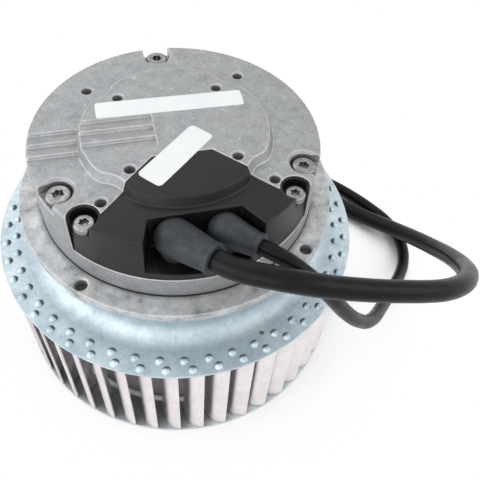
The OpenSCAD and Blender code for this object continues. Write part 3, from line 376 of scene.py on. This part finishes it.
# Faces without area, left by the fine tessellation of balls and screw drives, are welded shut
welded = {"names": ("bearing_balls", "board_screws", "cover_screws"), "reach": 0.0002}  # reach in mm
for name in welded["names"]:
    nodes[name].modifiers.new("weld", "WELD").merge_threshold = welded["reach"] * mm
print("welded:", welded["names"])

# Blank labels stuck on the pad, the second one half on the cover
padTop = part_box("electronics_housing")[1].z
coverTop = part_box("terminal_cover")[1].z
padLabel = {"name": "padLabel", "centre": (0, 13.7), "size": (60, 9.4), "turn": -1, "corner": 1.2}
coverLabel = {"name": "coverLabel", "centre": (-2.3, -15.4), "size": (33.7, 10.8), "turn": 43, "corner": 1.8}
film = {"thick": 0.08, "lift": 0.01, "along": 40, "across": 8, "arc": 6}  # mm, then steps of the mesh
window = {"rear": -15.2, "set": 3.8, "bend": 6}  # edges of the cover's top, length of the label's bend


def labelHeight(x, y):  # the pad, or the cover's top where the point lies inside the cover's edges
    inside = min(window["rear"] - y, (-y - abs(x) - window["set"]) / math.sqrt(2))
    share = min(max(inside / window["bend"], 0), 1)
    return padTop + (coverTop - padTop) * share ** 2 * (3 - 2 * share)  # eased at both ends


def stickLabel(label):  # a film with round corners that follows what it is stuck to
    length, width = label["size"]
    corner, turn = label["corner"], math.radians(label["turn"])
    along, across, arc = film["along"], film["across"], film["arc"]
    ends = [corner * (1 - math.cos(math.pi / 2 * i / arc)) for i in range(arc + 1)]
    middle = [corner + (length - 2 * corner) * i / along for i in range(1, along)]
    stations = ends + middle + [length - e for e in reversed(ends)]
    points, faces = [], []
    for s in stations:
        over = max(corner - s, corner - (length - s), 0)
        half = width / 2 - corner + math.sqrt(max(corner ** 2 - over ** 2, 0))
        for k in range(across + 1):
            u, v = s - length / 2, half * (2 * k / across - 1)
            x = label["centre"][0] + u * math.cos(turn) - v * math.sin(turn)
            y = label["centre"][1] + u * math.sin(turn) + v * math.cos(turn)
            points.append((x * mm, y * mm, labelHeight(x, y) + film["lift"] * mm))
    for i in range(len(stations) - 1):
        for k in range(across):
            a = i * (across + 1) + k
            faces.append((a, a + across + 1, a + across + 2, a + 1))
    mesh = bpy.data.meshes.new(label["name"])
    mesh.from_pydata(points, [], faces)
    mesh.flip_normals()
    sticker = bpy.data.objects.new(label["name"], mesh)
    scene.collection.objects.link(sticker)
    solid = sticker.modifiers.new("film", "SOLIDIFY")
    solid.thickness, solid.offset = film["thick"] * mm, 1
    mesh.materials.append(labelFilm)
    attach(sticker, "stator")
    return sticker


labels = [stickLabel(padLabel), stickLabel(coverLabel)]
print("labels stuck:", [sticker.name for sticker in labels])

# Studio: pale floor, soft lamps, white surroundings; lengths in metres
studio = {"floorSize": 3, "floorLevel": -0.0002, "floorTone": "#EDEDED", "surround": 0.7, "white": 1,
          "shadeReach": 0.11, "shadeSamples": 12, "shade": (0.22, 0.66), "aim": (0, 0, 0.06)}
lamps = ({"name": "frontLamp", "place": (-0.7, -0.6, 0.34), "size": 1.2, "watts": 4.4},
         {"name": "sideLamp", "place": (-0.9, 0.1, 0.3), "size": 0.8, "watts": 2.2},
         {"name": "fillLamp", "place": (0.7, -0.35, 0.6), "size": 0.6, "watts": 1.6},
         {"name": "rearLamp", "place": (-0.3, 0.6, 0.9), "size": 0.8, "watts": 1.2})


def seenRay(tree):  # 1 for what the camera, metal and glass see
    path = addNode(tree, "LightPath").outputs
    seen = path["Is Camera Ray"]
    for kind in ("Is Glossy Ray", "Is Transmission Ray"):
        seen = addNode(tree, "Math", {0: seen, 1: path[kind]}, operation="MAXIMUM").outputs[0]
    return seen


white = [1, 1, 1, 1]
world = bpy.data.worlds.new("studioWorld")
scene.world = world
world.use_nodes = True
worldTree = world.node_tree
worldTree.nodes.clear()
dim = addNode(worldTree, "Background", {"Color": white, "Strength": studio["surround"]})
backdrop = addNode(worldTree, "Background", {"Color": white, "Strength": studio["white"]})
mixed = addNode(worldTree, "MixShader", {0: seenRay(worldTree), 1: dim.outputs[0], 2: backdrop.outputs[0]})
addNode(worldTree, "OutputWorld", {"Surface": mixed.outputs[0]})

# The floor lies just below the ring, so that the two faces aren't level
floorMesh = bpy.data.meshes.new("studioFloor")
half, level = studio["floorSize"] / 2, studio["floorLevel"]
corners = ((-half, -half), (half, -half), (half, half), (-half, half))
floorMesh.from_pydata([corner + (level,) for corner in corners], [], [(0, 1, 2, 3)])
floor = bpy.data.objects.new("studioFloor", floorMesh)
scene.collection.objects.link(floor)
floorMaterial = bpy.data.materials.new("paperFloor")
floorMaterial.use_nodes = True
floorTree = floorMaterial.node_tree
floorTree.nodes.clear()
matt = addNode(floorTree, "BsdfDiffuse", {"Color": toLinear(studio["floorTone"])})
glow = addNode(floorTree, "Emission", {"Color": white, "Strength": studio["white"]})
# White wherever the sky is open, so that only the floor close to the fan and under it takes shade
openSky = addNode(floorTree, "AmbientOcclusion", {"Distance": studio["shadeReach"]},
                  samples=studio["shadeSamples"]).outputs["AO"]
lit = addNode(floorTree, "MapRange", {"Value": openSky, "From Min": studio["shade"][0],
                                      "From Max": studio["shade"][1]},
              interpolation_type="SMOOTHSTEP").outputs["Result"]
glowing = addNode(floorTree, "Math", {0: seenRay(floorTree), 1: lit}, operation="MULTIPLY").outputs[0]
paper = addNode(floorTree, "MixShader", {0: glowing, 1: matt.outputs[0], 2: glow.outputs[0]})
# Clear from below, so that the fan can be looked at from there
fromBelow = addNode(floorTree, "NewGeometry").outputs["Backfacing"]
clear = addNode(floorTree, "BsdfTransparent")
oneSided = addNode(floorTree, "MixShader", {0: fromBelow, 1: paper.outputs[0], 2: clear.outputs[0]})
addNode(floorTree, "OutputMaterial", {"Surface": oneSided.outputs[0]})
floorMesh.materials.append(floorMaterial)

for lamp in lamps:
    light = bpy.data.lights.new(lamp["name"], "AREA")
    light.energy, light.size = lamp["watts"], lamp["size"]
    holder = bpy.data.objects.new(lamp["name"], light)
    holder.location = lamp["place"]
    aim = Vector(studio["aim"]) - holder.location
    holder.rotation_euler = aim.to_track_quat("-Z", "Y").to_euler()
    scene.collection.objects.link(holder)
print("studio lit by", len(lamps), "lamps")
